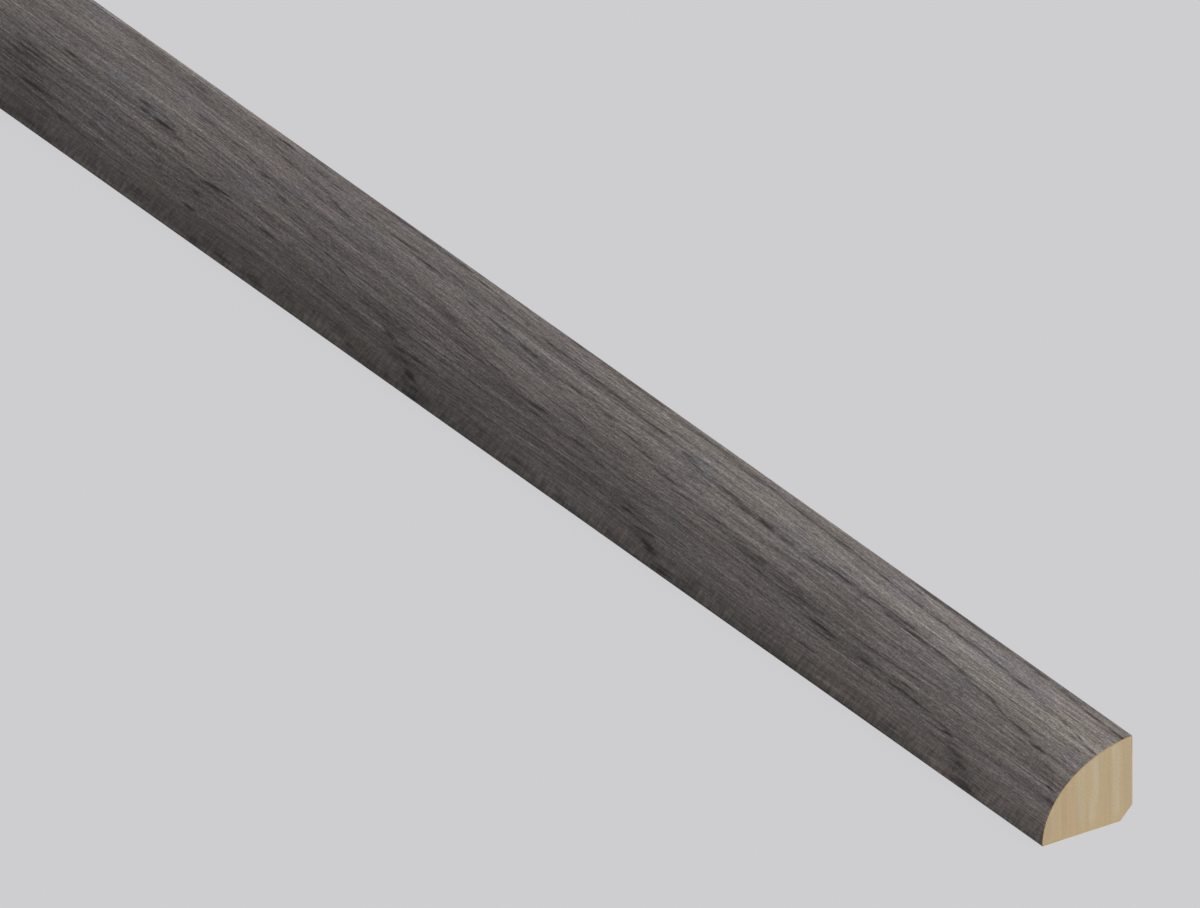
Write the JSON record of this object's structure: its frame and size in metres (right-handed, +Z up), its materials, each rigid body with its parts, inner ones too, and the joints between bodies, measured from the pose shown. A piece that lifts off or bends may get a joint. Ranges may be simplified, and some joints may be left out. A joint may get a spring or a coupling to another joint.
{
  "type": "quarter round moulding",
  "caption": "Straight length of quarter round floor moulding: light wood core under a grey wood-print foil, with a bevelled heel, for the joint of floor and wall.",
  "frame": {"origin": "middle of the base, halfway along the stick and halfway between the toe and the wall face", "axes": "+X along the stick, +Y towards the wall that it stands against, +Z up from the floor"},
  "size_m": [2.388, 0.019, 0.0163],
  "materials": {
    "core_wood": "sawn and moulded, bare",
    "grey_oak_print": "matt printed decor foil, dark grey oak"
  },
  "bodies": {
    "root": {"core": "core_wood", "decor_foil": "grey_oak_print"}
  },
  "joints": []
}
